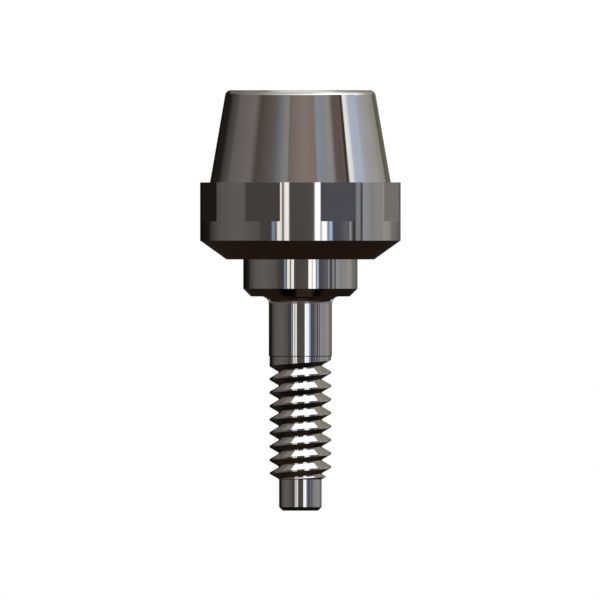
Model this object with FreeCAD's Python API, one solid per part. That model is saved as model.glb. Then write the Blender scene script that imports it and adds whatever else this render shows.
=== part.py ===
# Magnetic abutment for a dental implant.
#
# A turned titanium body screws into the implant by its threaded end and seats on
# the ring under its collar. The collar carries eight flats for the driver. A
# cylindrical magnet stands in a pocket of the collar, and a conical titanium cap
# covers it. The cap's spigot sits in a counterbore of the collar, and its shoulder
# on the collar's top face, where it is welded all round.
#
# Millimetres, +Z up, towards the prosthesis. The origin is on the axis, in the
# plane of the seat ring.

import FreeCAD
import Part

import math
import os

# Magnet
magnet_radius = 1.60
magnet_length = 3.00
magnet_side_clearance = 0.03
magnet_end_clearance = 0.03
bored_corner_radius = 0.08
corner_clearance = 0.04

# Cap
cap_lid_thickness = 0.30
cap_wall_at_top = 0.30
cap_side_angle = 9.82
cap_edge_radius = 0.155
cap_shoulder_width = 0.29
spigot_length = 0.40
spigot_lead_chamfer = 0.06
spigot_side_clearance = 0.01
spigot_end_clearance = 0.03

# Collar
collar_ledge_width = 0.257
flat_count = 8
flat_depth = 0.046
flat_height = 1.01
band_height = 0.50
flare_height = 0.49
pocket_depth = 0.94

# Seat ring and neck
seat_width = 0.433
neck_radius = 1.483
neck_length = 0.96
neck_chamfer = 0.203

# Shank
shank_radius = 0.82
shank_length = 1.56
shank_fillet = 0.19
shank_foot_chamfer = 0.02

# Thread, right-hand, 60 degree flanks
thread_radius = 0.80
thread_pitch = 0.35
thread_length = 3.18
thread_flank_angle = 60.0
thread_crest_share = 0.125
thread_root_share = 0.10
thread_start_angle = 60.0
thread_start_land = 0.02
thread_end_slope = 30.0

# Pilot tip
pilot_relief = 0.012
pilot_length = 0.815
pilot_chamfer = 0.095

# Heights
collar_top = flare_height + band_height + flat_height
pocket_floor = collar_top - pocket_depth
magnet_top = pocket_floor + magnet_length
cap_ceiling = magnet_top + magnet_end_clearance
cap_top = cap_ceiling + cap_lid_thickness
spigot_foot = collar_top - spigot_length
counterbore_floor = spigot_foot - spigot_end_clearance
neck_foot = -neck_length
shank_foot = neck_foot - shank_length
thread_foot = shank_foot - thread_length
tip = thread_foot - pilot_length

# Radii
bore_radius = magnet_radius + magnet_side_clearance
cap_top_radius = bore_radius + cap_wall_at_top
cap_base_radius = cap_top_radius + (cap_top - collar_top) * math.tan(math.radians(cap_side_angle))
spigot_radius = cap_base_radius - cap_shoulder_width
counterbore_radius = spigot_radius + spigot_side_clearance
collar_radius = cap_base_radius + collar_ledge_width
seat_radius = neck_radius + seat_width
magnet_chamfer = bored_corner_radius + corner_clearance

# Thread section, with a flat crest and a flat root
flank_tangent = math.tan(math.radians(thread_flank_angle / 2))
crest_flat = thread_pitch * thread_crest_share
root_flat = thread_pitch * thread_root_share
groove_width = thread_pitch - crest_flat
thread_depth = (groove_width - root_flat) / 2 / flank_tangent
root_radius = thread_radius - thread_depth
pilot_radius = root_radius - pilot_relief
thread_end_height = (thread_radius - pilot_radius) * math.tan(math.radians(thread_end_slope))

axis_point = FreeCAD.Vector(0, 0, 0)
axis = FreeCAD.Vector(0, 0, 1)


def turned(outline):
    """Solid turned about the axis from corners (radius, height, rounding if any)."""
    corners = [FreeCAD.Vector(corner[0], 0, corner[1]) for corner in outline]
    arrivals = []
    departures = []
    edges = []
    for index, corner in enumerate(corners):
        rounding = outline[index][2] if len(outline[index]) == 3 else 0
        arrival = corner
        departure = corner
        if rounding > 0:
            back = (corners[index - 1] - corner).normalize()
            onward = (corners[(index + 1) % len(corners)] - corner).normalize()
            half_corner = back.getAngle(onward) / 2
            arrival = corner + back * (rounding / math.tan(half_corner))
            departure = corner + onward * (rounding / math.tan(half_corner))
            inward = (back + onward).normalize()
            middle = corner + inward * (rounding / math.sin(half_corner) - rounding)
            edges.append(Part.Arc(arrival, middle, departure).toShape())
        arrivals.append(arrival)
        departures.append(departure)
    for index, departure in enumerate(departures):
        arrival = arrivals[(index + 1) % len(arrivals)]
        edges.append(Part.LineSegment(departure, arrival).toShape())
    section = Part.Face(Part.Wire(Part.__sortEdges__(edges)))
    return section.revolve(axis_point, axis, 360)


def driver_flat(angle):
    """What is milled away outside one flat of the collar."""
    cutter_height = flat_height + flat_depth
    cutter = Part.makeBox(collar_radius, 2 * collar_radius, cutter_height)
    flat_foot = collar_top - flat_height
    cutter.translate(FreeCAD.Vector(collar_radius - flat_depth, -collar_radius, flat_foot))
    cutter.rotate(axis_point, axis, angle)
    return cutter


def thread_groove():
    """The helical V groove between the turns of the thread, from its start past its end."""
    cutter_width = thread_pitch - crest_flat / 2
    cutter_radius = root_radius + (cutter_width - root_flat) / 2 / flank_tangent
    start_height = shank_foot - thread_start_land - groove_width / 2
    turns = math.ceil((start_height - thread_foot) / thread_pitch) + 1
    helix = Part.makeHelix(thread_pitch, turns * thread_pitch, root_radius)
    section = Part.makePolygon([
        FreeCAD.Vector(root_radius, 0, -root_flat / 2),
        FreeCAD.Vector(cutter_radius, 0, -cutter_width / 2),
        FreeCAD.Vector(cutter_radius, 0, cutter_width / 2),
        FreeCAD.Vector(root_radius, 0, root_flat / 2),
        FreeCAD.Vector(root_radius, 0, -root_flat / 2),
    ])
    groove = Part.Wire(helix.Edges).makePipeShell([section], True, True)
    groove.rotate(axis_point, axis, thread_start_angle)
    groove.translate(FreeCAD.Vector(0, 0, start_height - turns * thread_pitch))
    return groove


def abutment_body():
    """Collar, seat, neck, threaded shank and pilot tip, turned from one bar."""
    body = turned([
        (0, pocket_floor),
        (bore_radius, pocket_floor, bored_corner_radius),
        (bore_radius, counterbore_floor),
        (counterbore_radius, counterbore_floor),
        (counterbore_radius, collar_top),
        (collar_radius, collar_top),
        (collar_radius, flare_height),
        (seat_radius, 0),
        (neck_radius, 0),
        (neck_radius, neck_foot + neck_chamfer),
        (neck_radius - neck_chamfer, neck_foot),
        (shank_radius, neck_foot, shank_fillet),
        (shank_radius, shank_foot + shank_foot_chamfer),
        (thread_radius, shank_foot),
        (thread_radius, thread_foot + thread_end_height),
        (pilot_radius, thread_foot),
        (pilot_radius, tip + pilot_chamfer),
        (pilot_radius - pilot_chamfer, tip),
        (0, tip),
    ])
    flat_spacing = 360 / flat_count
    for index in range(flat_count):
        body = body.cut(driver_flat((index + 0.5) * flat_spacing))
    return body.cut(thread_groove())


def magnet_cap():
    """Conical cup that covers the magnet and closes the collar."""
    return turned([
        (0, cap_ceiling),
        (bore_radius, cap_ceiling, bored_corner_radius),
        (bore_radius, spigot_foot),
        (spigot_radius - spigot_lead_chamfer, spigot_foot),
        (spigot_radius, spigot_foot + spigot_lead_chamfer),
        (spigot_radius, collar_top),
        (cap_base_radius, collar_top),
        (cap_top_radius, cap_top, cap_edge_radius),
        (0, cap_top),
    ])


def magnet():
    """Cylinder with broken edges, standing on the pocket's floor."""
    return turned([
        (0, pocket_floor),
        (magnet_radius - magnet_chamfer, pocket_floor),
        (magnet_radius, pocket_floor + magnet_chamfer),
        (magnet_radius, magnet_top - magnet_chamfer),
        (magnet_radius - magnet_chamfer, magnet_top),
        (0, magnet_top),
    ])


os.makedirs("parts", exist_ok=True)
for node, make in (("abutment_body", abutment_body), ("magnet_cap", magnet_cap), ("magnet", magnet)):
    make().exportStep("parts/" + node + ".step")
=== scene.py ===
"""A magnetic abutment for a dental implant, dressed for its picture.

The packed CAD model is the frame. The turned body and the magnet's cap are made again
as fine, exactly shaded meshes in the CAD's own sizes. The sealed magnet keeps its CAD
mesh and gets a ground finish. The studio is a pale floor, a soft lamp, and cards that
only the polished metal mirrors: a ring of them round the part, a ceiling over it, and
dark ones under its thread. Metres, +Z up, origin in the plane of the seat ring.
"""

import math

import bpy
from bpy.props import FloatProperty, FloatVectorProperty, IntProperty, PointerProperty
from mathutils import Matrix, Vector


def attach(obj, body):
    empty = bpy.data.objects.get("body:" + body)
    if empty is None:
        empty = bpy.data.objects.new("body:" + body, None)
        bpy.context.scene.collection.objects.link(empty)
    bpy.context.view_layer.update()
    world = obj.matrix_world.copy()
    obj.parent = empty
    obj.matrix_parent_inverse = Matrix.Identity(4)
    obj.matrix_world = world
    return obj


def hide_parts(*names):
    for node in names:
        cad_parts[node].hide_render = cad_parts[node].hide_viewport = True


bl_info = {
    "name": "Magnetic abutment",
    "version": (1, 0, 0),
    "blender": (4, 5, 0),
    "location": "3D View > Sidebar > Abutment",
    "description": "Builds a turned magnetic abutment and its studio around the CAD frame",
    "category": "Object",
}

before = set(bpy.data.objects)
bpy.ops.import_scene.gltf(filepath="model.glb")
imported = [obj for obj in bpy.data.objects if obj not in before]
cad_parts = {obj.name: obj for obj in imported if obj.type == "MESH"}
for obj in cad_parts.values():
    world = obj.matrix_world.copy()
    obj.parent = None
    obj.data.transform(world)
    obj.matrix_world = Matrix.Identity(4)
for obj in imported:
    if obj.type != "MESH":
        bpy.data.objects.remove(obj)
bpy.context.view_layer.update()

MM = 0.001
TURN = 2 * math.pi
WHITE = (1, 1, 1, 1)
BLACK = (0, 0, 0, 1)

# How fine the meshes are. Corners nearer than the weld are one, and so are sweep angles.
WELD = 1e-9
SWEEP_WELD = 1e-7
ARC_STEP = math.radians(6)
LEAST_ARC_STEPS = 3
ROUND_STEPS = 20
FLAT_STEPS = 12


def number(label, value, text, **settings):
    """A number that a user may change."""
    return FloatProperty(name=label, description=text, default=value, **settings)


def length(label, millimetres, text, least=0.0):
    """A length, kept in metres."""
    return number(label, millimetres * MM, text, min=least, unit="LENGTH", precision=5)


def angle(label, degrees, text):
    """An angle, kept in radians."""
    return number(label, math.radians(degrees), text, unit="ROTATION")


def share(label, value, text):
    """A number from 0 to 1."""
    return number(label, value, text, min=0.0, max=1.0, subtype="FACTOR")


def tint(label, value, text):
    """A linear colour."""
    return FloatVectorProperty(
        name=label, description=text, default=value, min=0.0, max=1.0, size=3, subtype="COLOR"
    )


class CollarSizes(bpy.types.PropertyGroup):
    """Collar, seat ring and the pocket inside."""

    top: length("Top", 2.00, "Height of the collar's top face")
    radius: length("Radius", 2.6007, "Radius of the round collar")
    flat_depth: length("Flat depth", 0.046, "How deep each driver flat is milled")
    flat_foot: length("Flat foot", 0.99, "Height at which the driver flats end")
    flat_count: IntProperty(name="Flats", description="Driver flats round the collar", default=8)
    flare_top: length("Flare top", 0.49, "Height at which the flare starts")
    seat_radius: length("Seat radius", 1.916, "Outer radius of the ring that seats")
    bore_radius: length("Bore radius", 1.63, "Radius of the magnet's pocket")
    bore_floor: length("Bore floor", 1.06, "Height of the pocket's floor")
    bore_corner: length("Bore corner", 0.08, "Rounding of the bored corners")
    counterbore_radius: length("Counterbore radius", 2.0637, "Radius of the cap's seat")
    counterbore_floor: length("Counterbore floor", 1.57, "Height of the counterbore's floor")


class ShankSizes(bpy.types.PropertyGroup):
    """Neck, shank and pilot tip, measured down from the seat ring."""

    neck_radius: length("Neck radius", 1.483, "Radius of the locating neck")
    neck_length: length("Neck length", 0.96, "Length of the locating neck")
    neck_chamfer: length("Neck chamfer", 0.203, "Chamfer at the neck's foot")
    radius: length("Shank radius", 0.82, "Radius of the plain shank")
    foot: length("Shank foot", 2.52, "Depth at which the plain shank ends")
    fillet: length("Shank fillet", 0.19, "Fillet under the neck")
    foot_chamfer: length("Foot chamfer", 0.02, "Chamfer at the shank's foot")
    pilot_radius: length("Pilot radius", 0.55309, "Radius of the plain tip")
    pilot_chamfer: length("Pilot chamfer", 0.095, "Chamfer at the tip")
    tip: length("Tip", 6.515, "Depth of the tip")


class ThreadSizes(bpy.types.PropertyGroup):
    """Right-hand V thread with a flat crest and a flat root."""

    radius: length("Crest radius", 0.80, "Radius over the crests")
    pitch: length("Pitch", 0.35, "Rise in one turn")
    crest: length("Crest width", 0.04375, "Width of the flat crest")
    root: length("Root width", 0.035, "Width of the flat root")
    flank: angle("Flank angle", 30.0, "Angle between a flank and the plane square to the axis")
    land: length("Start land", 0.02, "Plain land above the first turn")
    foot: length("Thread foot", 5.70, "Depth at which the thread ends")
    start: angle("Start angle", 60.0, "Where the groove starts, from +X")


class CapSizes(bpy.types.PropertyGroup):
    """Conical cup over the magnet."""

    top: length("Top", 4.39, "Height of the cap's flat top")
    top_radius: length("Top radius", 1.93, "Radius at the top, before its rounding")
    edge: length("Edge rounding", 0.155, "Rounding of the top edge")
    base_radius: length("Base radius", 2.34367, "Radius where the cone meets the collar")
    ceiling: length("Ceiling", 4.09, "Height of the ceiling over the magnet")
    spigot_radius: length("Spigot radius", 2.05367, "Radius of the spigot in the collar")
    spigot_foot: length("Spigot foot", 1.60, "Height of the spigot's foot")
    spigot_chamfer: length("Spigot chamfer", 0.06, "Lead chamfer of the spigot")


class MetalFinish(bpy.types.PropertyGroup):
    """Polished titanium and the ground magnet."""

    titanium: tint("Titanium", (0.55, 0.53, 0.51), "Colour of the polished titanium")
    rubbed: tint("Rubbed edge", (0.62, 0.60, 0.58), "Colour where edges are rubbed")
    polish: share("Polish", 0.05, "Roughness of the polished metal")
    mark_spacing: length("Mark spacing", 0.018, "Spacing of the turning marks")
    edge_width: length("Edge width", 0.012, "Width of the rubbed line along an edge")
    magnet: tint("Magnet", (0.16, 0.16, 0.17), "Colour of the ground magnet")
    magnet_grain: tint("Magnet grain", (0.24, 0.24, 0.25), "Colour of its bright grains")
    grain_size: length("Grain size", 0.03, "Size of the magnet's grains")


class StudioSettings(bpy.types.PropertyGroup):
    """Camera, floor, lamp and cards."""

    frame_height: length("Frame height", 15.558, "Height that the camera takes in")
    aim_x: length("Aim X", -0.0096, "Camera's X", least=-1.0)
    aim_z: length("Aim Z", -1.0507, "Camera's Z", least=-1.0)
    card_distance: length("Card distance", 450.0, "From the part to the cards")
    floor_white: share("Floor white", 0.8, "Colour of the pale floor")
    floor_radius: length("Floor radius", 40.0, "Radius of the floor")
    sky: share("Sky", 0.6, "Plain light from all round")
    lamp_watts: number("Lamp", 0.55, "Power of the soft lamp", unit="POWER")


# Turned meshes


def new_mesh(name, points, faces, material):
    """A mesh in one material."""
    mesh = bpy.data.meshes.new(name)
    mesh.from_pydata(points, [], faces)
    mesh.materials.append(material)
    return mesh


class Shell:
    """Faces with their own corner normals, welded where their corners meet."""

    def __init__(self):
        self.points = []
        self.places = {}
        self.faces = []
        self.normals = []

    def place(self, point):
        """Index of a point, the same for all points within the weld distance."""
        key = tuple(round(value / WELD) for value in point)
        if key not in self.places:
            self.places[key] = len(self.points)
            self.points.append(tuple(point))
        return self.places[key]

    def face(self, corners):
        """Adds a face from (point, normal) corners, turned so that it faces its normals."""
        kept = []
        for point, normal in corners:
            index = self.place(point)
            if all(index != other for other, _ in kept):
                kept.append((index, normal))
        if len(kept) < 3:
            return
        across = Vector()
        first = Vector(self.points[kept[0][0]])
        for (left, _), (right, _) in zip(kept[1:], kept[2:]):
            across += (Vector(self.points[left]) - first).cross(Vector(self.points[right]) - first)
        if across.dot(sum((normal for _, normal in kept), Vector())) < 0:
            kept.reverse()
        self.faces.append([index for index, _ in kept])
        self.normals.extend(normal for _, normal in kept)

    def patch(self, rows):
        """A grid of faces between rows of (point, normal) corners."""
        for upper, lower in zip(rows, rows[1:]):
            for side in range(len(upper) - 1):
                self.face((upper[side], upper[side + 1], lower[side + 1], lower[side]))

    def piece(self, name, material):
        """The finished object, riding on the part's one body."""
        mesh = new_mesh(name, self.points, self.faces, material)
        mesh.polygons.foreach_set("use_smooth", [True] * len(mesh.polygons))
        mesh.normals_split_custom_set([tuple(normal) for normal in self.normals])
        made = bpy.data.objects.new(name, mesh)
        bpy.context.scene.collection.objects.link(made)
        made.visible_glossy = False
        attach(made, "root")
        return made


def corner(turn, radius, height, outward, upward):
    """A (point, normal) corner of a turned surface, at an angle round the axis."""
    along = Vector((math.cos(turn), math.sin(turn), 0))
    return (
        (along.x * radius, along.y * radius, height),
        Vector((along.x * outward, along.y * outward, upward)),
    )


def turned_runs(outline):
    """Straight runs and rounded corners of an outline of (radius, height[, rounding]).

    The solid lies to the right of the outline. Each run is a list of (radius, height,
    outward, upward), with the surface's normal in the last two.
    """
    headings = [
        math.atan2(after[1] - before[1], after[0] - before[0])
        for before, after in zip(outline, outline[1:])
    ]
    runs = []
    start = outline[0][:2]
    for index, heading in enumerate(headings):
        ahead = (math.cos(heading), math.sin(heading))
        normal = (-ahead[1], ahead[0])
        end = outline[index + 1]
        rounding = end[2] if len(end) == 3 else 0
        arc = []
        stop = end[:2]
        if rounding:
            bend = (headings[index + 1] - heading + math.pi) % TURN - math.pi
            cut = rounding * math.tan(abs(bend) / 2)
            reach = -rounding if bend > 0 else rounding
            stop = (end[0] - ahead[0] * cut, end[1] - ahead[1] * cut)
            middle = [stop[axis] - reach * normal[axis] for axis in (0, 1)]
            steps = max(LEAST_ARC_STEPS, math.ceil(abs(bend) / ARC_STEP))
            for step in range(steps + 1):
                lean = heading + bend * step / steps
                out, up = -math.sin(lean), math.cos(lean)
                arc.append((middle[0] + reach * out, middle[1] + reach * up, out, up))
        runs.append([(*start, *normal), (*stop, *normal)])
        if arc:
            runs.append(arc)
        start = runs[-1][-1][:2]
    return runs


def turn_outline(shell, outline, turns):
    """Turns an outline round the axis, through the given angles."""
    for run in turned_runs(outline):
        shell.patch([[corner(turn, *row) for turn in turns] for row in run])


def flat_angles(collar):
    """The angle from one flat to the next, and half the angle that a flat takes."""
    return TURN / collar.flat_count, math.acos(1 - collar.flat_depth / collar.radius)


def round_columns(collar, extra):
    """Angles of the columns round the axis, with one at each end of every flat."""
    spacing, half_flat = flat_angles(collar)
    half_round = spacing / 2 - half_flat
    columns = []
    for index in range(collar.flat_count):
        middle = index * spacing
        for step in range(ROUND_STEPS):
            columns.append(middle + half_round * (2 * step / ROUND_STEPS - 1))
        for step in range(FLAT_STEPS):
            columns.append(middle + half_round + half_flat * 2 * step / FLAT_STEPS)
    columns = sorted({turn % TURN for turn in (*columns, *extra)})
    return columns + [columns[0] + TURN]


def collar_side(shell, collar, turns):
    """The collar's top face, its round stretches and flats, their ledges and the band below."""
    spacing, half_flat = flat_angles(collar)
    apothem = collar.radius - collar.flat_depth
    seat, rim = (collar.counterbore_radius,) * 2, (collar.radius,) * 2
    for ends in zip(turns, turns[1:]):
        middle = sum(ends) / 2
        flat = (math.floor(middle / spacing) + 0.5) * spacing
        milled = abs(middle - flat) < half_flat
        reach = [min(apothem / math.cos(turn - flat), collar.radius) for turn in ends]
        edge = reach if milled else rim

        def row(radii, height, outward, upward):
            return [corner(*spot, height, outward, upward) for spot in zip(ends, radii)]

        wall = [row(edge, height, 1, 0) for height in (collar.top, collar.flat_foot)]
        shell.patch([row(seat, collar.top, 0, 1), row(edge, collar.top, 0, 1)])
        if milled:
            side = Vector((math.cos(flat), math.sin(flat), 0))
            wall = [[(point, side) for point, _ in line] for line in wall]
            shell.patch([row(edge, collar.flat_foot, 0, 1), row(rim, collar.flat_foot, 0, 1)])
        shell.patch(wall)
        shell.patch([row(rim, height, 1, 0) for height in (collar.flat_foot, collar.flare_top)])


class Groove:
    """The thread's groove. An edge is a radius and a height at a sweep down from its start."""

    def __init__(self, thread, shank):
        self.start = thread.start % TURN
        self.pitch = thread.pitch
        self.slope = math.tan(thread.flank)
        self.cone_normal = (math.sin(thread.flank), -math.cos(thread.flank))
        self.crest = thread.radius
        self.half_root = thread.root / 2
        self.half_width = (thread.pitch - thread.crest) / 2
        self.root = self.crest - (self.half_width - self.half_root) / self.slope
        self.shank_foot = -shank.foot
        self.land_foot = self.shank_foot - thread.land
        self.cone_end = (shank.pilot_radius, -thread.foot)
        self.cone_top = (self.crest - shank.pilot_radius) * self.slope - thread.foot
        self.cone_root = (self.root - shank.pilot_radius) * self.slope - thread.foot
        self.last = (self.land_foot - self.cone_top) / self.pitch * TURN
        self.crest_gone = self.last - 2 * self.half_width / self.pitch * TURN
        self.flank_gone = self.last - 2 * self.half_root / self.pitch * TURN

    def middle(self, sweep):
        """Height of the groove's middle."""
        return self.land_foot - self.half_width - self.pitch * sweep / TURN

    def upper_crest(self, sweep):
        """Where the groove starts, on the crest above it."""
        return self.crest, self.middle(sweep) + self.half_width

    def upper_root(self, sweep):
        """Where the upper flank ends."""
        return self.root, self.middle(sweep) + self.half_root

    def lower_root(self, sweep):
        """Where the lower flank starts, or the end cone in its place."""
        return self.root, max(self.middle(sweep) - self.half_root, self.cone_root)

    def lower_crest(self, sweep):
        """Where the groove ends, on the crest below it."""
        return self.crest, self.middle(sweep) - self.half_width

    def lower_end(self, sweep):
        """Where the lower flank ends, on the crest or on the end cone."""
        if sweep <= self.crest_gone:
            return self.lower_crest(sweep)
        if sweep >= self.flank_gone:
            return self.root, self.cone_root
        root = self.middle(sweep) - self.half_root
        height = (root + self.cone_root) / 2
        return self.root + (root - height) / self.slope, height

    def crest_foot(self, sweep):
        """Where the crest ends, at the next turn's groove or at the end cone."""
        return self.crest, max(self.upper_crest(sweep + TURN)[1], self.cone_top)

    def wedge_split(self, sweep):
        """A line along the first turn's wedge, which keeps its faces even."""
        fall = self.land_foot - self.lower_crest(0)[1]
        return self.crest, self.land_foot - fall * sweep / TURN

    def cone_start(self, sweep):
        """Where the end cone starts, in the last turn."""
        if sweep <= self.crest_gone:
            return self.crest, self.cone_top
        return self.lower_end(sweep)


def cut_thread(shell, groove, turns):
    """The threaded length: land, wedge of the first turn, groove, crest and end cone."""

    def wall(sweep, radius, height):
        return corner(groove.start - sweep, radius, height, 1, 0)

    def cone(sweep, radius, height):
        return corner(groove.start - sweep, radius, height, *groove.cone_normal)

    def flank(facing):
        """Corners on a flank that faces up or down, with the helix's own normal."""

        def on_flank(sweep, radius, height):
            point, along = wall(sweep, radius, height)
            ahead = Vector((-along.y, along.x, 0))
            rise = groove.pitch / (TURN * radius)
            lean = along * groove.slope - ahead * rise * facing + Vector((0, 0, facing))
            return point, lean.normalized()

        return on_flank

    def level(radius, height):
        """An edge that doesn't climb."""
        return lambda sweep: (radius, height)

    def strip(columns, surface, *edges):
        """Faces of one kind of surface from edge to edge."""
        shell.patch([[surface(sweep, *edge(sweep)) for sweep in columns] for edge in edges])

    down = sorted({(groove.start - turn) % TURN for turn in turns})
    laps = range(math.ceil(groove.last / TURN) + 1)
    sweeps = [sweep + lap * TURN for lap in laps for sweep in down]
    for stop in (groove.last, groove.last - TURN, groove.crest_gone, groove.flank_gone):
        sweeps = [stop if abs(sweep - stop) < SWEEP_WELD else sweep for sweep in sweeps]
    first_turn = [sweep for sweep in sweeps if sweep < TURN] + [TURN]
    whole = [sweep for sweep in sweeps if sweep <= groove.last]
    last_turn = [sweep for sweep in whole if sweep >= groove.last - TURN]
    crested = [sweep for sweep in whole if sweep <= groove.crest_gone]
    flanked = [sweep for sweep in whole if sweep <= groove.flank_gone]

    shank_foot = level(groove.crest, groove.shank_foot)
    land_foot = level(groove.crest, groove.land_foot)
    cone_root = level(groove.root, groove.cone_root)
    strip(first_turn, wall, shank_foot, land_foot, groove.wedge_split, groove.upper_crest)
    strip(crested, wall, groove.lower_crest, groove.crest_foot)
    strip(whole, flank(-1), groove.upper_crest, groove.upper_root)
    strip(whole, wall, groove.upper_root, groove.lower_root)
    strip(flanked, flank(1), groove.lower_root, groove.lower_end)
    strip(last_turn, cone, groove.cone_start, cone_root, level(*groove.cone_end))
    ahead = Vector((math.sin(groove.start), -math.cos(groove.start), 0))
    end_face = (groove.upper_crest, groove.upper_root, groove.lower_root, groove.lower_crest)
    shell.face([(wall(0, *edge(0))[0], ahead) for edge in end_face])


# Node groups and materials


def new_group(name, vectors, values, results):
    """A shader node group: vector inputs, float inputs with their defaults, float outputs."""
    tree = bpy.data.node_groups.new(name, "ShaderNodeTree")
    socket = tree.interface.new_socket
    for label in vectors:
        socket(label, in_out="INPUT", socket_type="NodeSocketVector")
    for label, value in values.items():
        socket(label, in_out="INPUT", socket_type="NodeSocketFloat").default_value = value
    for label in results:
        socket(label, in_out="OUTPUT", socket_type="NodeSocketFloat")
    return tree, tree.nodes.new("NodeGroupInput").outputs, tree.nodes.new("NodeGroupOutput").inputs


def add(tree, kind, settings=None, **inputs):
    """A node with its settings, and its inputs set to values or linked to sockets.

    An input is called by its name, or by its number after an underscore.
    """
    made = tree.nodes.new("ShaderNode" + kind)
    for label, value in (settings or {}).items():
        setattr(made, label, value)
    for label, value in inputs.items():
        key = int(label[1:]) if label[0] == "_" else label.replace("_", " ")
        if isinstance(value, bpy.types.NodeSocket):
            tree.links.new(value, made.inputs[key])
        else:
            made.inputs[key].default_value = value
    return made


def math_node(tree, operation, *values):
    """A Math node's result."""
    inputs = {"_" + str(index): value for index, value in enumerate(values)}
    return add(tree, "Math", {"operation": operation}, **inputs).outputs[0]


def mix_colours(tree, factor, low, high):
    """A blend of two colours, which may be sockets."""
    return add(tree, "Mix", {"data_type": "RGBA"}, _0=factor, _6=low, _7=high).outputs[2]


# Scale and detail of the noises that make the marks.
MARK_NOISES = {"Height": (1.0, 2.0), "Band": (0.11, 1.0)}


def turning_marks_group():
    """Fine rings that the tool leaves: by the height on a wall and by the radius on a face."""
    tree, given, result = new_group(
        "turning marks", ["Position"], {"Spacing": 0.01 * MM}, ["Height", "Band"]
    )
    place = add(tree, "SeparateXYZ", Vector=given["Position"]).outputs
    across = math_node(tree, "POWER", place["X"], 2.0)
    deep = math_node(tree, "POWER", place["Y"], 2.0)
    radius = math_node(tree, "SQRT", math_node(tree, "ADD", across, deep))
    sideways = math_node(tree, "DIVIDE", radius, given["Spacing"])
    upwards = math_node(tree, "DIVIDE", place["Z"], given["Spacing"])
    rings = add(tree, "CombineXYZ", X=sideways, Y=upwards).outputs[0]
    flat = {"noise_dimensions": "2D"}
    for label, (scale, detail) in MARK_NOISES.items():
        noise = add(tree, "TexNoise", flat, Vector=rings, Scale=scale, Detail=detail)
        tree.links.new(noise.outputs["Fac"], result[label])
    return tree


FILM_NOISE = {"Detail": 4.0, "Distortion": 0.4}
FILM_RANGE = {"From_Min": 0.35, "From_Max": 0.7}


def handling_film_group():
    """Faint clouds of wear, a few tenths of a millimetre across."""
    tree, given, result = new_group("handling film", ["Position"], {"Size": MM}, ["Cloud"])
    scale = math_node(tree, "DIVIDE", 1.0, given["Size"])
    cloud = add(tree, "TexNoise", Vector=given["Position"], Scale=scale, **FILM_NOISE)
    clear = add(tree, "MapRange", Value=cloud.outputs["Fac"], **FILM_RANGE).outputs[0]
    tree.links.new(clear, result["Cloud"])
    return tree


RUBBED_RANGE = {"From_Min": 0.01, "From_Max": 0.25}


def rubbed_edge_group():
    """A thin mask along edges, from how far a rounded normal leaves the surface's own."""
    tree, given, result = new_group("rubbed edge", ["Normal", "Rounded"], {}, ["Mask"])
    same = add(
        tree, "VectorMath", {"operation": "DOT_PRODUCT"}, _0=given["Normal"], _1=given["Rounded"]
    ).outputs["Value"]
    away = math_node(tree, "SUBTRACT", 1.0, same)
    mask = add(tree, "MapRange", Value=away, **RUBBED_RANGE).outputs[0]
    tree.links.new(mask, result["Mask"])
    return tree


GROUPS = {
    "turning marks": turning_marks_group,
    "handling film": handling_film_group,
    "rubbed edge": rubbed_edge_group,
}


def place_group(tree, name, **inputs):
    """The outputs of a shared group's node in a material. The group is made once."""
    group = bpy.data.node_groups.get(name) or GROUPS[name]()
    return add(tree, "Group", {"node_tree": group}, **inputs).outputs


def new_material(name):
    """A material, its tree and the inputs of its Principled BSDF."""
    made = bpy.data.materials.new(name)
    made.use_nodes = True
    return made, made.node_tree, made.node_tree.nodes["Principled BSDF"].inputs


def worn_places(tree, spacing, film_size):
    """Object coordinates, the turning marks there and the handling film."""
    place = add(tree, "TexCoord").outputs["Object"]
    marks = place_group(tree, "turning marks", Position=place, Spacing=spacing)
    film = place_group(tree, "handling film", Position=place, Size=film_size)["Cloud"]
    return place, marks, film


def finish_surface(tree, surface, colour, rough, metallic, height, bump):
    """Joins what a metal's nodes give to its Principled BSDF."""
    tree.links.new(colour, surface["Base Color"])
    tree.links.new(rough, surface["Roughness"])
    tree.links.new(add(tree, "Bump", Height=height, **bump).outputs[0], surface["Normal"])
    surface["Metallic"].default_value = metallic


FILM_SIZE = 0.9 * MM
FILM_SHADE = 0.94
# What each adds to the roughness. A face square to the axis is turned, and isn't polished.
FILM_ROUGHNESS = 0.02
BAND_ROUGHNESS = 0.015
RUBBED_ROUGHNESS = 0.12
FACED_ROUGHNESS = 0.10
FACED_BAND_ROUGHNESS = 0.12
FACED_RANGE = {"From_Min": 0.985, "From_Max": 0.999}
FACED_DEPTH = 30.0
BEVEL = {"samples": 4}
POLISHED_BUMP = {"Strength": 0.1, "Distance": 0.0002 * MM}


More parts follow.
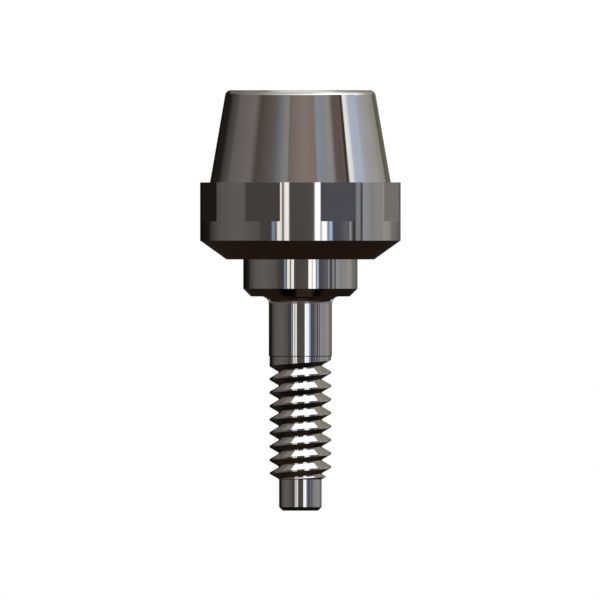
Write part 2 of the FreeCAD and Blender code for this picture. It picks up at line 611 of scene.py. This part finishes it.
def polished_titanium(finish):
    """Polished titanium: crisp, with faint turning marks, a handling film and rubbed edges."""
    known = bpy.data.materials.get("polished titanium")
    if known:
        return known
    made, tree, surface = new_material("polished titanium")
    _, marks, film = worn_places(tree, finish.mark_spacing, FILM_SIZE)
    own = add(tree, "NewGeometry").outputs["Normal"]
    rounded = add(tree, "Bevel", BEVEL, Radius=finish.edge_width).outputs[0]
    rubbed = place_group(tree, "rubbed edge", Normal=own, Rounded=rounded)["Mask"]
    darker = tuple(FILM_SHADE * value for value in finish.titanium)
    clean = mix_colours(tree, film, (*finish.titanium, 1), (*darker, 1))
    colour = mix_colours(tree, rubbed, clean, (*finish.rubbed, 1))
    upright = math_node(tree, "ABSOLUTE", add(tree, "SeparateXYZ", Vector=own).outputs["Z"])
    faced = add(tree, "MapRange", Value=upright, **FACED_RANGE).outputs[0]
    band = marks["Band"]
    rings = math_node(tree, "MULTIPLY_ADD", band, FACED_BAND_ROUGHNESS, FACED_ROUGHNESS)
    rough = finish.polish
    for mask, roughness in (
        (film, FILM_ROUGHNESS), (band, BAND_ROUGHNESS), (rubbed, RUBBED_ROUGHNESS), (faced, rings)
    ):
        rough = math_node(tree, "MULTIPLY_ADD", mask, roughness, rough)
    depth = math_node(tree, "MULTIPLY_ADD", faced, FACED_DEPTH, 1.0)
    ridges = math_node(tree, "MULTIPLY", marks["Height"], depth)
    finish_surface(tree, surface, colour, rough, 1.0, ridges, POLISHED_BUMP)
    return made


MAGNET_FILM_SIZE = 0.6 * MM
MAGNET_MARKS = 2
SPARK_CONTRAST = 4.0
GROUND_ROUGHNESS = 0.38
GROUND_FILM_ROUGHNESS = 0.1
SPARK_ROUGHNESS = 0.08
GROUND_METALLIC = 0.9
GROUND_BUMP = {"Strength": 0.4, "Distance": 0.002 * MM}


def ground_magnet(finish):
    """Ground sintered magnet: dark grey, satin, with a fine bright grain."""
    made, tree, surface = new_material("ground magnet")
    spacing = finish.mark_spacing * MAGNET_MARKS
    place, marks, film = worn_places(tree, spacing, MAGNET_FILM_SIZE)
    grain = add(tree, "TexVoronoi", Vector=place, Scale=1 / finish.grain_size, Randomness=1.0)
    spark = add(tree, "SeparateColor", Color=grain.outputs["Color"]).outputs[0]
    bright = math_node(tree, "POWER", spark, SPARK_CONTRAST)
    colour = mix_colours(tree, bright, (*finish.magnet, 1), (*finish.magnet_grain, 1))
    rough = math_node(tree, "MULTIPLY_ADD", film, GROUND_FILM_ROUGHNESS, GROUND_ROUGHNESS)
    rough = math_node(tree, "MULTIPLY_ADD", spark, SPARK_ROUGHNESS, rough)
    uneven = math_node(tree, "ADD", marks["Height"], spark)
    finish_surface(tree, surface, colour, rough, GROUND_METALLIC, uneven, GROUND_BUMP)
    return made


# Studio

# Paints are as the polished metal shows them.
PAINTS = {
    "white": (1.0, 1.0, 1.0),
    "warm white": (1.0, 0.94, 0.9),
    "cream": (0.98, 1.0, 0.91),
    "linen": (1.0, 0.96, 0.85),
    "paper": (1.0, 0.98, 0.94),
    "sky": (0.54, 0.7, 1.0),
    "mist": (0.75, 0.84, 1.0),
    "steel": (0.8, 0.89, 1.0),
    "slate": (0.92, 0.93, 1.0),
    "lilac": (0.86, 0.85, 1.0),
    "stone": (1.0, 0.94, 0.85),
    "ash": (1.0, 0.91, 0.85),
    "sand": (1.0, 0.89, 0.73),
    "taupe": (1.0, 0.77, 0.67),
    "brown": (1.0, 0.82, 0.69),
    "olive": (1.0, 0.94, 0.6),
    "umber": (1.0, 0.68, 0.48),
    "black": (1.0, 0.79, 0.64),
    "soot": (1.0, 0.58, 0.37),
}

# Cards as seen from the part: name, paint, left and right edge, foot and top in degrees,
# how bright the metal shows their left and right edge, and how soft their edges are.
# Azimuth 0 is the camera's side and 90 the right. Later cards stand nearer.
STUDIO_CARDS = (
    ("surround", "ash", -181, 181, -80, 41, 0.06, 0.06, 0.2),
    ("low_front_left", "brown", -66, 2, -80, -4, 0.11, 0.07, 4),
    ("low_front_right", "brown", -2, 66, -80, -4, 0.07, 0.11, 4),
    ("low_front_near", "ash", -64, 64, -80, -36, 0.13, 0.13, 6),
    ("low_strip_left", "linen", -31, -14, -34, -11, 0.2, 0.22, 4),
    ("low_strip_right", "slate", 17, 33, -34, -11, 0.26, 0.24, 4),
    ("low_wall_left", "ash", -152, -62, -80, -4, 0.11, 0.09, 6),
    ("low_softbox_left", "linen", -160, -144, -60, -13, 0.6, 0.65, 4),
    ("low_wall_right", "slate", 62, 150, -80, -4, 0.16, 0.22, 6),
    ("low_softbox_right", "white", 144, 160, -60, -13, 0.9, 0.85, 4),
    ("low_back", "black", 160, 200, -80, -4, 0.012, 0.012, 5),
    ("back_flag", "black", -181, -146, -5, 40, 0.0035, 0.0055, 2),
    ("back_flag_edge", "black", -147, -127, -5, 40, 0.006, 0.014, 2),
    ("left_wall_back", "ash", -127, -105, -5, 40, 0.034, 0.088, 2),
    ("left_wall", "ash", -105, -76, -5, 40, 0.092, 0.11, 1),
    ("left_wall_front", "ash", -76, -47, -5, 24, 0.11, 0.078, 1),
    ("left_flag", "ash", -47, -33, -5, 11, 0.053, 0.05, 1.5),
    ("left_edge_light", "sky", -33, -29.2, -5, 11, 0.35, 0.35, 0.8),
    ("left_gap", "slate", -29.2, -27.2, -5, 11, 0.09, 0.09, 0.5),
    ("left_softbox", "linen", -26.8, -21, -5, 11, 0.82, 0.8, 0.8),
    ("left_pole", "ash", -21.2, -18.9, -5, 11, 0.11, 0.11, 0.6),
    ("left_softbox_front", "warm white", -18.7, -12.9, -5, 11, 0.8, 0.92, 0.8),
    ("camera_wall", "ash", -12.9, 16.4, -5, 11, 0.061, 0.073, 0.8),
    ("right_softbox", "white", 16.4, 23.1, -5, 11, 1.1, 1.1, 0.8),
    ("right_pole", "ash", 23.1, 24.7, -5, 11, 0.26, 0.26, 0.6),
    ("right_softbox_edge", "white", 24.7, 30.9, -5, 11, 1.1, 1.1, 0.8),
    ("right_gap", "slate", 30.9, 33.4, -5, 11, 0.19, 0.2, 0.6),
    ("right_edge_light", "sky", 33.4, 37.2, -5, 11, 0.68, 0.68, 0.8),
    ("right_flag", "lilac", 37.4, 49, -5, 11, 0.066, 0.088, 1),
    ("right_screen", "lilac", 49, 56, -5, 11, 0.1, 0.13, 0.5),
    ("right_screen_fold", "slate", 56, 58, -5, 11, 0.098, 0.098, 0.5),
    ("right_screen_edge", "slate", 58.2, 61, -5, 11, 0.25, 0.31, 0.8),
    ("right_screen_side", "slate", 61, 63, -5, 11, 0.14, 0.08, 0.5),
    ("right_post", "black", 63, 66.4, -5, 11, 0.038, 0.038, 0.8),
    ("right_panel", "slate", 67, 73.6, -5, 11, 0.22, 0.21, 1.2),
    ("right_seam", "slate", 74.2, 76, -5, 11, 0.036, 0.036, 0.6),
    ("right_wall", "slate", 76.6, 91, -5, 11, 0.29, 0.23, 0.8),
    ("right_wall_middle", "paper", 91, 106, -5, 11, 0.22, 0.24, 1),
    ("right_wall_back", "ash", 106, 118, -5, 11, 0.25, 0.3, 2),
    ("far_right_wall", "stone", 118, 133, -5, 11, 0.28, 0.17, 2),
    ("far_right_corner", "stone", 133, 148, -5, 11, 0.16, 0.12, 1),
    ("far_right_back", "stone", 148, 181, -5, 11, 0.11, 0.03, 1),
    ("upper_back_flag", "black", -181, -134, 4, 40, 0.0045, 0.014, 2),
    ("upper_left_back", "ash", -134, -105, 9, 40, 0.026, 0.084, 2),
    ("upper_left_wall", "ash", -108, -71, 9, 40, 0.11, 0.15, 1),
    ("upper_left_fold", "ash", -73.5, -61, 9, 26, 0.15, 0.07, 2),
    ("left_brown_board", "brown", -64, -36, 9, 26, 0.067, 0.11, 3),
    ("upper_left_panel", "slate", -39, -25, 9, 26, 0.11, 0.17, 6),
    ("upper_left_screen", "paper", -27, -15.6, 9, 26, 0.18, 0.22, 2),
    ("upper_left_seam", "sand", -16.6, -12, 9, 26, 0.13, 0.15, 0.8),
    ("upper_front_wall", "taupe", -13, 5, 9, 24, 0.16, 0.21, 0.8),
    ("upper_front_board", "taupe", 3, 21.4, 9, 24, 0.21, 0.19, 1.5),
    ("upper_right_panel", "steel", 21.6, 37, 9, 26, 0.27, 0.25, 1.5),
    ("upper_right_screen", "paper", 34, 44, 9, 26, 0.23, 0.25, 4),
    ("upper_right_fold", "stone", 42, 50, 9, 26, 0.26, 0.12, 2),
    ("right_brown_board", "taupe", 49, 61, 9, 26, 0.11, 0.1, 1),
    ("right_brown_edge", "brown", 60, 64, 9, 26, 0.12, 0.12, 0.5),
    ("upper_right_post", "black", 63, 68.5, 9, 26, 0.03, 0.03, 0.6),
    ("tall_softbox", "cream", 67.6, 74, 7, 26, 0.77, 0.77, 0.8),
    ("tall_softbox_side", "slate", 73, 78, 7, 26, 0.74, 0.58, 1.5),
    ("sky_panel", "mist", 76.6, 96, 7, 26, 0.53, 0.49, 2),
    ("upper_right_wall", "slate", 93, 107, 6, 30, 0.37, 0.34, 3),
    ("upper_right_corner", "paper", 104, 124, 5, 34, 0.32, 0.29, 2),
    ("upper_right_back", "stone", 121, 143, 5, 34, 0.29, 0.21, 2),
    ("olive_board", "olive", 142.6, 181, 2, 20, 0.088, 0.11, 3),
    ("high_back_left", "sand", -181, -137, 18, 41, 0.1, 0.13, 4),
    ("high_wall_left", "linen", -137, -60, 20, 41, 0.12, 0.25, 4),
    ("high_softbox_left", "white", -62, -12, 22.5, 41, 0.34, 0.82, 3),
    ("high_softbox", "white", -13, 30, 22.5, 41, 0.95, 1.2, 2),
    ("high_softbox_right", "white", 30, 94, 24, 41, 1.3, 1.2, 2),
    ("high_wall_right", "slate", 94, 124, 15.5, 41, 1.1, 0.6, 3),
    ("high_back_right", "sand", 122, 181, 11.5, 41, 0.4, 0.11, 3),
)
CARD_STEP = 4.0
CARD_GAP = 0.0015

# Level cards: name, paint, left, right, front and back edge, then as above. The ceiling's
# are in shares of its height. The dark ones are in millimetres: they lie round the foot
# of the thread. The spot under the tip is painted shadow: a black spot that stands in for
# the tip's contact shadow on the floor, and only the metal sees it.
CEILING_HEIGHT = 0.22
CEILING_GAP = 0.005
CEILING_CARDS = (
    ("ceiling", "sand", -1.75, 1.75, -1.75, 1.75, 0.2, 0.2, 0.1),
    ("ceiling_right", "sand", 0.0, 1.75, 0.0, 1.75, 0.22, 0.4, 0.5),
    ("ceiling_front", "paper", -1.75, 0.3, -1.75, 0.0, 0.1, 0.62, 0.3),
    ("ceiling_front_right", "white", 0.3, 1.75, -1.75, 0.1, 0.95, 1.0, 0.3),
    ("ceiling_middle", "paper", -0.3, 0.35, -0.1, 0.35, 0.62, 0.66, 0.3),
    ("ceiling_side", "stone", 0.25, 1.75, 0.05, 0.65, 0.5, 0.56, 0.3),
    ("ceiling_far_side", "paper", 0.85, 1.75, 0.6, 1.1, 0.56, 0.45, 0.3),
)
DISH_HEIGHT = 0.96
DISH_CENTRE = (0.02, 0.70)
DISH_REACH = 0.28
DISH_STRENGTH = 1.05
DISH_SIDES = 48
# Rings of the dish: shares of its reach, and how much of the card is there.
DISH_RINGS = ((0.0, 1.0), (0.92, 1.0), (1.08, 0.0))
DARK_CARD_GAP = 0.0004
DARK_CARD_HEIGHT = 0.80
DARK_CARDS = (
    ("dark_card", "soot", -13.4, 13.4, -5.6, 13.4, 0.013, 0.013, 1.2),
    ("dark_card_front", "umber", -10.6, 10.6, -5.6, -0.6, 0.026, 0.026, 0.6),
    ("dark_board_back", "black", -1.2, 1.2, 0.35, 6.0, 0.005, 0.005, 0.4),
    ("dark_board_left", "black", -3.0, -0.44, -2.1, -0.5, 0.001, 0.001, 0.45),
    ("dark_board_right", "black", 1.42, 3.45, -2.1, -0.4, 0.002, 0.002, 0.45),
)
# Painted shadow: a black spot under the tip, seen only by the metal, in place of the tip's contact
# shadow.
PAINTED_TIP_SHADOW = ("tip_painted_shadow", "black", -0.7, 0.7, -0.7, 0.7, 0.006, 0.006, 0.2)


def studio_object(name, data, *rays):
    """An object of the studio that only the named rays meet."""
    made = bpy.data.objects.new(name, data)
    bpy.context.scene.collection.objects.link(made)
    for ray in ("camera", "glossy", "diffuse", "shadow", "transmission", "volume_scatter"):
        setattr(made, "visible_" + ray, ray in rays)
    return made


def card_material(name):
    """A card that shines in its paint, thin at its soft edges. A dark card is clear from below."""
    known = bpy.data.materials.get(name)
    if known:
        return known
    made, tree, _ = new_material(name)
    tree.nodes.clear()
    paint = add(tree, "VertexColor", {"layer_name": "paint"}).outputs
    shine = add(tree, "Emission", Color=paint["Color"], Strength=1.0).outputs[0]
    clear = add(tree, "BsdfTransparent").outputs[0]
    cover = paint["Alpha"]
    if name == "dark card":
        above = math_node(tree, "SUBTRACT", 1.0, add(tree, "NewGeometry").outputs["Backfacing"])
        cover = math_node(tree, "MULTIPLY", cover, above)
    card = add(tree, "MixShader", _0=cover, _1=clear, _2=shine).outputs[0]
    add(tree, "OutputMaterial", Surface=card)
    made.cycles.emission_sampling = "NONE"
    return made


def card_mesh(name, rows, paints, material="studio card"):
    """A card from rows of points and rows of linear colours with their cover."""
    across = len(rows[0])
    faces = []
    for row in range(len(rows) - 1):
        for first in range(row * across, (row + 1) * across - 1):
            faces.append((first, first + 1, first + across + 1, first + across))
    points = [point for row in rows for point in row]
    mesh = new_mesh(name, points, faces, card_material(material))
    layer = mesh.color_attributes.new("paint", "FLOAT_COLOR", "POINT")
    layer.data.foreach_set("color", [value for row in paints for colour in row for value in colour])
    made = studio_object(name, mesh, "glossy")


def soft_steps(low, high, soft, step):
    """Across a card from edge to edge: where, how far across, and how much it covers."""
    count = max(1, math.ceil((high - low) / step))
    inside = [
        (low + soft / 2 + (high - low - soft) * index / count, index / count, 1.0)
        for index in range(count + 1)
    ]
    return [(low - soft / 2, 0.0, 0.0), *inside, (high + soft / 2, 1.0, 0.0)]


def shown_paint(paint, titanium):
    """A card's colour, so that the tinted metal shows the paint."""
    return [value / metal for value, metal in zip(PAINTS[paint], titanium)]


def soft_card(card, titanium, place, step=math.inf, material="studio card"):
    """One card with soft edges and even steps, its corners put where place says."""
    name, paint, left, right, foot, top, dim, bright, soft = card
    shown = shown_paint(paint, titanium)
    columns = soft_steps(left, right, soft, step)
    rows, paints = [], []
    for along, _, edge in soft_steps(foot, top, soft, step):
        rows.append([place(across, along) for across, _, _ in columns])
        paints.append([
            (*((dim + (bright - dim) * part) * value for value in shown), cover * edge)
            for _, part, cover in columns
        ])
    card_mesh(name, rows, paints, material)


def stand_cards(studio, titanium):
    """The ring of cards round the part."""
    for index, card in enumerate(STUDIO_CARDS):
        distance = studio.card_distance - index * CARD_GAP

        def place(turn, rise):
            side, up = math.radians(turn), math.radians(rise)
            level = distance * math.cos(up)
            return (level * math.sin(side), -level * math.cos(side), distance * math.sin(up))

        soft_card(card, titanium, place, CARD_STEP)


def hang_cards(titanium):
    """The ceiling's cards and the round dish over the part, each under the one before."""
    for index, card in enumerate(CEILING_CARDS):
        height = CEILING_HEIGHT * (1 - CEILING_GAP * index)
        soft_card(card, titanium, lambda x, y: (x * height, y * height, height))
    height = CEILING_HEIGHT * DISH_HEIGHT
    shown = [DISH_STRENGTH * value for value in shown_paint("white", titanium)]
    rows, paints = [], []
    for reach, cover in DISH_RINGS:
        ring = []
        for step in range(DISH_SIDES + 1):
            turn = TURN * step / DISH_SIDES
            x = DISH_CENTRE[0] + DISH_REACH * reach * math.cos(turn)
            y = DISH_CENTRE[1] + DISH_REACH * reach * math.sin(turn)
            ring.append((x * height, y * height, height))
        rows.append(ring)
        paints.append([(*shown, cover)] * len(ring))
    card_mesh("overhead_dish", rows, paints)


def lay_dark_cards(titanium, floor):
    """Dark cards below the part, which only the metal sees, each over the one before, and the
    painted shadow spot under the tip.
    """
    # The second group is the painted shadow spot under the tip.
    for foot, cards in ((floor + DARK_CARD_HEIGHT * MM, DARK_CARDS), (floor, (PAINTED_TIP_SHADOW,))):
        for index, card in enumerate(cards):
            level = foot + DARK_CARD_GAP * MM * (index + 1)
            soft_card(
                card, titanium, lambda x, y: (x * MM, y * MM, level), material="dark card"
            )


def seen_directly(tree):
    """1 for camera, glossy and transmission rays."""
    rays = add(tree, "LightPath").outputs
    mirrored = math_node(tree, "MAXIMUM", rays["Is Glossy Ray"], rays["Is Transmission Ray"])
    return math_node(tree, "MAXIMUM", rays["Is Camera Ray"], mirrored)


FLOOR_FADE = {"From_Min": 6 * MM, "From_Max": 30 * MM}
FLOOR_ROUGHNESS = 0.8
FLOOR_SIDES = 128


def floor_material(studio):
    """Pale near the part, and as white as the background away from it. Clear from below."""
    made, tree, surface = new_material("pale floor")
    place = add(tree, "TexCoord").outputs["Object"]
    flat = add(tree, "VectorMath", {"operation": "LENGTH"}, _0=place).outputs["Value"]
    smooth = {"interpolation_type": "SMOOTHSTEP"}
    away = add(tree, "MapRange", smooth, Value=flat, **FLOOR_FADE).outputs[0]
    colour = mix_colours(tree, away, (*(studio.floor_white,) * 3, 1), BLACK)
    tree.links.new(colour, surface["Base Color"])
    surface["Roughness"].default_value = FLOOR_ROUGHNESS
    surface["Specular IOR Level"].default_value = 0.0
    direct = seen_directly(tree)
    fill = math_node(tree, "MULTIPLY_ADD", away, studio.floor_white, 1 - studio.floor_white)
    surface["Emission Color"].default_value = WHITE
    tree.links.new(math_node(tree, "MULTIPLY", fill, direct), surface["Emission Strength"])
    below = add(tree, "NewGeometry").outputs["Backfacing"]
    clear = add(tree, "BsdfTransparent").outputs[0]
    principled = tree.nodes["Principled BSDF"].outputs[0]
    both = add(tree, "MixShader", _0=below, _1=principled, _2=clear).outputs[0]
    tree.links.new(both, tree.nodes["Material Output"].inputs["Surface"])
    made.cycles.emission_sampling = "NONE"
    return made


def pale_floor(studio, level):
    """A pale round floor, which the metal doesn't mirror."""
    turns = [TURN * step / FLOOR_SIDES for step in range(FLOOR_SIDES)]
    reach = studio.floor_radius
    rim = [(reach * math.cos(turn), reach * math.sin(turn), 0) for turn in turns]
    mesh = new_mesh("pale_floor", rim, [range(FLOOR_SIDES)], floor_material(studio))
    floor = studio_object("pale_floor", mesh, "camera", "diffuse", "shadow", "transmission")
    floor.location.z = level


def plain_world(studio):
    """Plain light from all round, and white where it is seen."""
    world = bpy.context.scene.world or bpy.data.worlds.new("studio")
    bpy.context.scene.world = world
    world.use_nodes = True
    tree = world.node_tree
    tree.nodes.clear()
    direct = seen_directly(tree)
    strength = math_node(tree, "MULTIPLY_ADD", direct, 1 - studio.sky, studio.sky)
    back = add(tree, "Background", Color=WHITE, Strength=strength).outputs[0]
    add(tree, "OutputWorld", Surface=back)


LAMP_SIZE = 0.12
LAMP_PLACE = (-0.08, -0.07, 0.26)


def soft_lamp(studio):
    """One large soft lamp, high on the left, which lights the floor round the part's shadow."""
    light = bpy.data.lights.new("soft_lamp", "AREA")
    light.shape = "DISK"
    light.size = LAMP_SIZE
    light.energy = studio.lamp_watts
    lamp = studio_object("soft_lamp", light, "diffuse", "shadow", "transmission", "volume_scatter")
    lamp.location = LAMP_PLACE
    lamp.rotation_mode = "QUATERNION"
    lamp.rotation_quaternion = lamp.location.to_track_quat("Z", "Y")


CAMERA_DISTANCE = 0.05
CAMERA_CLIP = (0.001, 1.0)


def side_camera(studio):
    """The photograph's camera: square from the side, with no perspective."""
    lens = bpy.data.cameras.new("side_camera")
    lens.type = "ORTHO"
    lens.ortho_scale = studio.frame_height
    lens.clip_start, lens.clip_end = CAMERA_CLIP
    camera = bpy.data.objects.new("side_camera", lens)
    camera.location = (studio.aim_x, -CAMERA_DISTANCE, studio.aim_z)
    camera.rotation_euler = (math.pi / 2, 0, 0)
    bpy.context.scene.collection.objects.link(camera)
    bpy.context.scene.camera = camera


# Operators


class ABUTMENT_OT_body(bpy.types.Operator):
    """Build the turned body: collar, seat, neck, shank, thread and pilot tip"""

    bl_idname = "abutment.body"
    bl_label = "Turned body"

    def execute(self, context):
        scene = context.scene
        collar, shank, thread = scene.abutment_collar, scene.abutment_shank, scene.abutment_thread
        groove = Groove(thread, shank)
        ends = (0, groove.last, groove.crest_gone, groove.flank_gone)
        turns = round_columns(collar, [groove.start - end for end in ends])
        shell = Shell()
        turn_outline(shell, [
            (0, collar.bore_floor),
            (collar.bore_radius, collar.bore_floor, collar.bore_corner),
            (collar.bore_radius, collar.counterbore_floor),
            (collar.counterbore_radius, collar.counterbore_floor),
            (collar.counterbore_radius, collar.top),
        ], turns)
        collar_side(shell, collar, turns)
        turn_outline(shell, [
            (collar.radius, collar.flare_top),
            (collar.seat_radius, 0),
            (shank.neck_radius, 0),
            (shank.neck_radius, shank.neck_chamfer - shank.neck_length),
            (shank.neck_radius - shank.neck_chamfer, -shank.neck_length),
            (shank.radius, -shank.neck_length, shank.fillet),
            (shank.radius, shank.foot_chamfer - shank.foot),
            (thread.radius, -shank.foot),
        ], turns)
        cut_thread(shell, groove, turns)
        turn_outline(shell, [
            (shank.pilot_radius, -thread.foot),
            (shank.pilot_radius, shank.pilot_chamfer - shank.tip),
            (shank.pilot_radius - shank.pilot_chamfer, -shank.tip),
            (0, -shank.tip),
        ], turns)
        body = shell.piece("turned_body", polished_titanium(scene.abutment_finish))
        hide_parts("abutment_body")
        return {"FINISHED"}


class ABUTMENT_OT_cap(bpy.types.Operator):
    """Build the conical cap over the magnet"""

    bl_idname = "abutment.cap"
    bl_label = "Magnet cap"

    def execute(self, context):
        scene = context.scene
        cap, collar = scene.abutment_cap, scene.abutment_collar
        shell = Shell()
        turn_outline(shell, [
            (0, cap.top),
            (cap.top_radius, cap.top, cap.edge),
            (cap.base_radius, collar.top),
            (cap.spigot_radius, collar.top),
            (cap.spigot_radius, cap.spigot_foot + cap.spigot_chamfer),
            (cap.spigot_radius - cap.spigot_chamfer, cap.spigot_foot),
            (collar.bore_radius, cap.spigot_foot),
            (collar.bore_radius, cap.ceiling, collar.bore_corner),
            (0, cap.ceiling),
        ], round_columns(collar, ()))
        made = shell.piece("conical_cap", polished_titanium(scene.abutment_finish))
        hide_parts("magnet_cap")
        return {"FINISHED"}


class ABUTMENT_OT_magnet(bpy.types.Operator):
    """Give the sealed magnet its ground finish"""

    bl_idname = "abutment.magnet"
    bl_label = "Ground magnet"

    def execute(self, context):
        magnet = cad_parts["magnet"]
        magnet.material_slots[0].material = ground_magnet(context.scene.abutment_finish)
        # The metal mirrors only the studio, and no piece, not even this sealed one.
        magnet.visible_glossy = False
        return {"FINISHED"}


class ABUTMENT_OT_studio(bpy.types.Operator):
    """Set up the camera, the floor, the lamp and the cards"""

    bl_idname = "abutment.studio"
    bl_label = "Studio"

    def execute(self, context):
        scene = context.scene
        studio = scene.abutment_studio
        titanium = scene.abutment_finish.titanium
        level = -scene.abutment_shank.tip
        scene.view_settings.view_transform = "Standard"
        side_camera(studio)
        plain_world(studio)
        soft_lamp(studio)
        pale_floor(studio, level)
        lay_dark_cards(titanium, level)
        hang_cards(titanium)
        stand_cards(studio, titanium)
        return {"FINISHED"}


class ABUTMENT_PT_panel(bpy.types.Panel):
    """The pieces of the abutment and its studio"""

    bl_idname = "ABUTMENT_PT_panel"
    bl_label = "Magnetic abutment"
    bl_space_type = "VIEW_3D"
    bl_region_type = "UI"
    bl_category = "Abutment"

    def draw(self, context):
        for operator in OPERATORS:
            self.layout.operator(operator.bl_idname)
        for name, group in SETTINGS.items():
            box = self.layout.box()
            box.label(text=group.__doc__)
            for key in group.__annotations__:
                box.prop(getattr(context.scene, name), key)


OPERATORS = (ABUTMENT_OT_body, ABUTMENT_OT_cap, ABUTMENT_OT_magnet, ABUTMENT_OT_studio)
SETTINGS = {
    "abutment_collar": CollarSizes,
    "abutment_shank": ShankSizes,
    "abutment_thread": ThreadSizes,
    "abutment_cap": CapSizes,
    "abutment_finish": MetalFinish,
    "abutment_studio": StudioSettings,
}


def register():
    for group in SETTINGS.values():
        bpy.utils.register_class(group)
    for name, group in SETTINGS.items():
        setattr(bpy.types.Scene, name, PointerProperty(type=group))
    for made in (*OPERATORS, ABUTMENT_PT_panel):
        bpy.utils.register_class(made)


def unregister():
    for made in (ABUTMENT_PT_panel, *reversed(OPERATORS)):
        bpy.utils.unregister_class(made)
    for name, group in SETTINGS.items():
        delattr(bpy.types.Scene, name)
        bpy.utils.unregister_class(group)


def main():
    register()
    bpy.ops.abutment.body()
    bpy.ops.abutment.cap()
    bpy.ops.abutment.magnet()
    bpy.ops.abutment.studio()


if __name__ == "__main__":
    main()
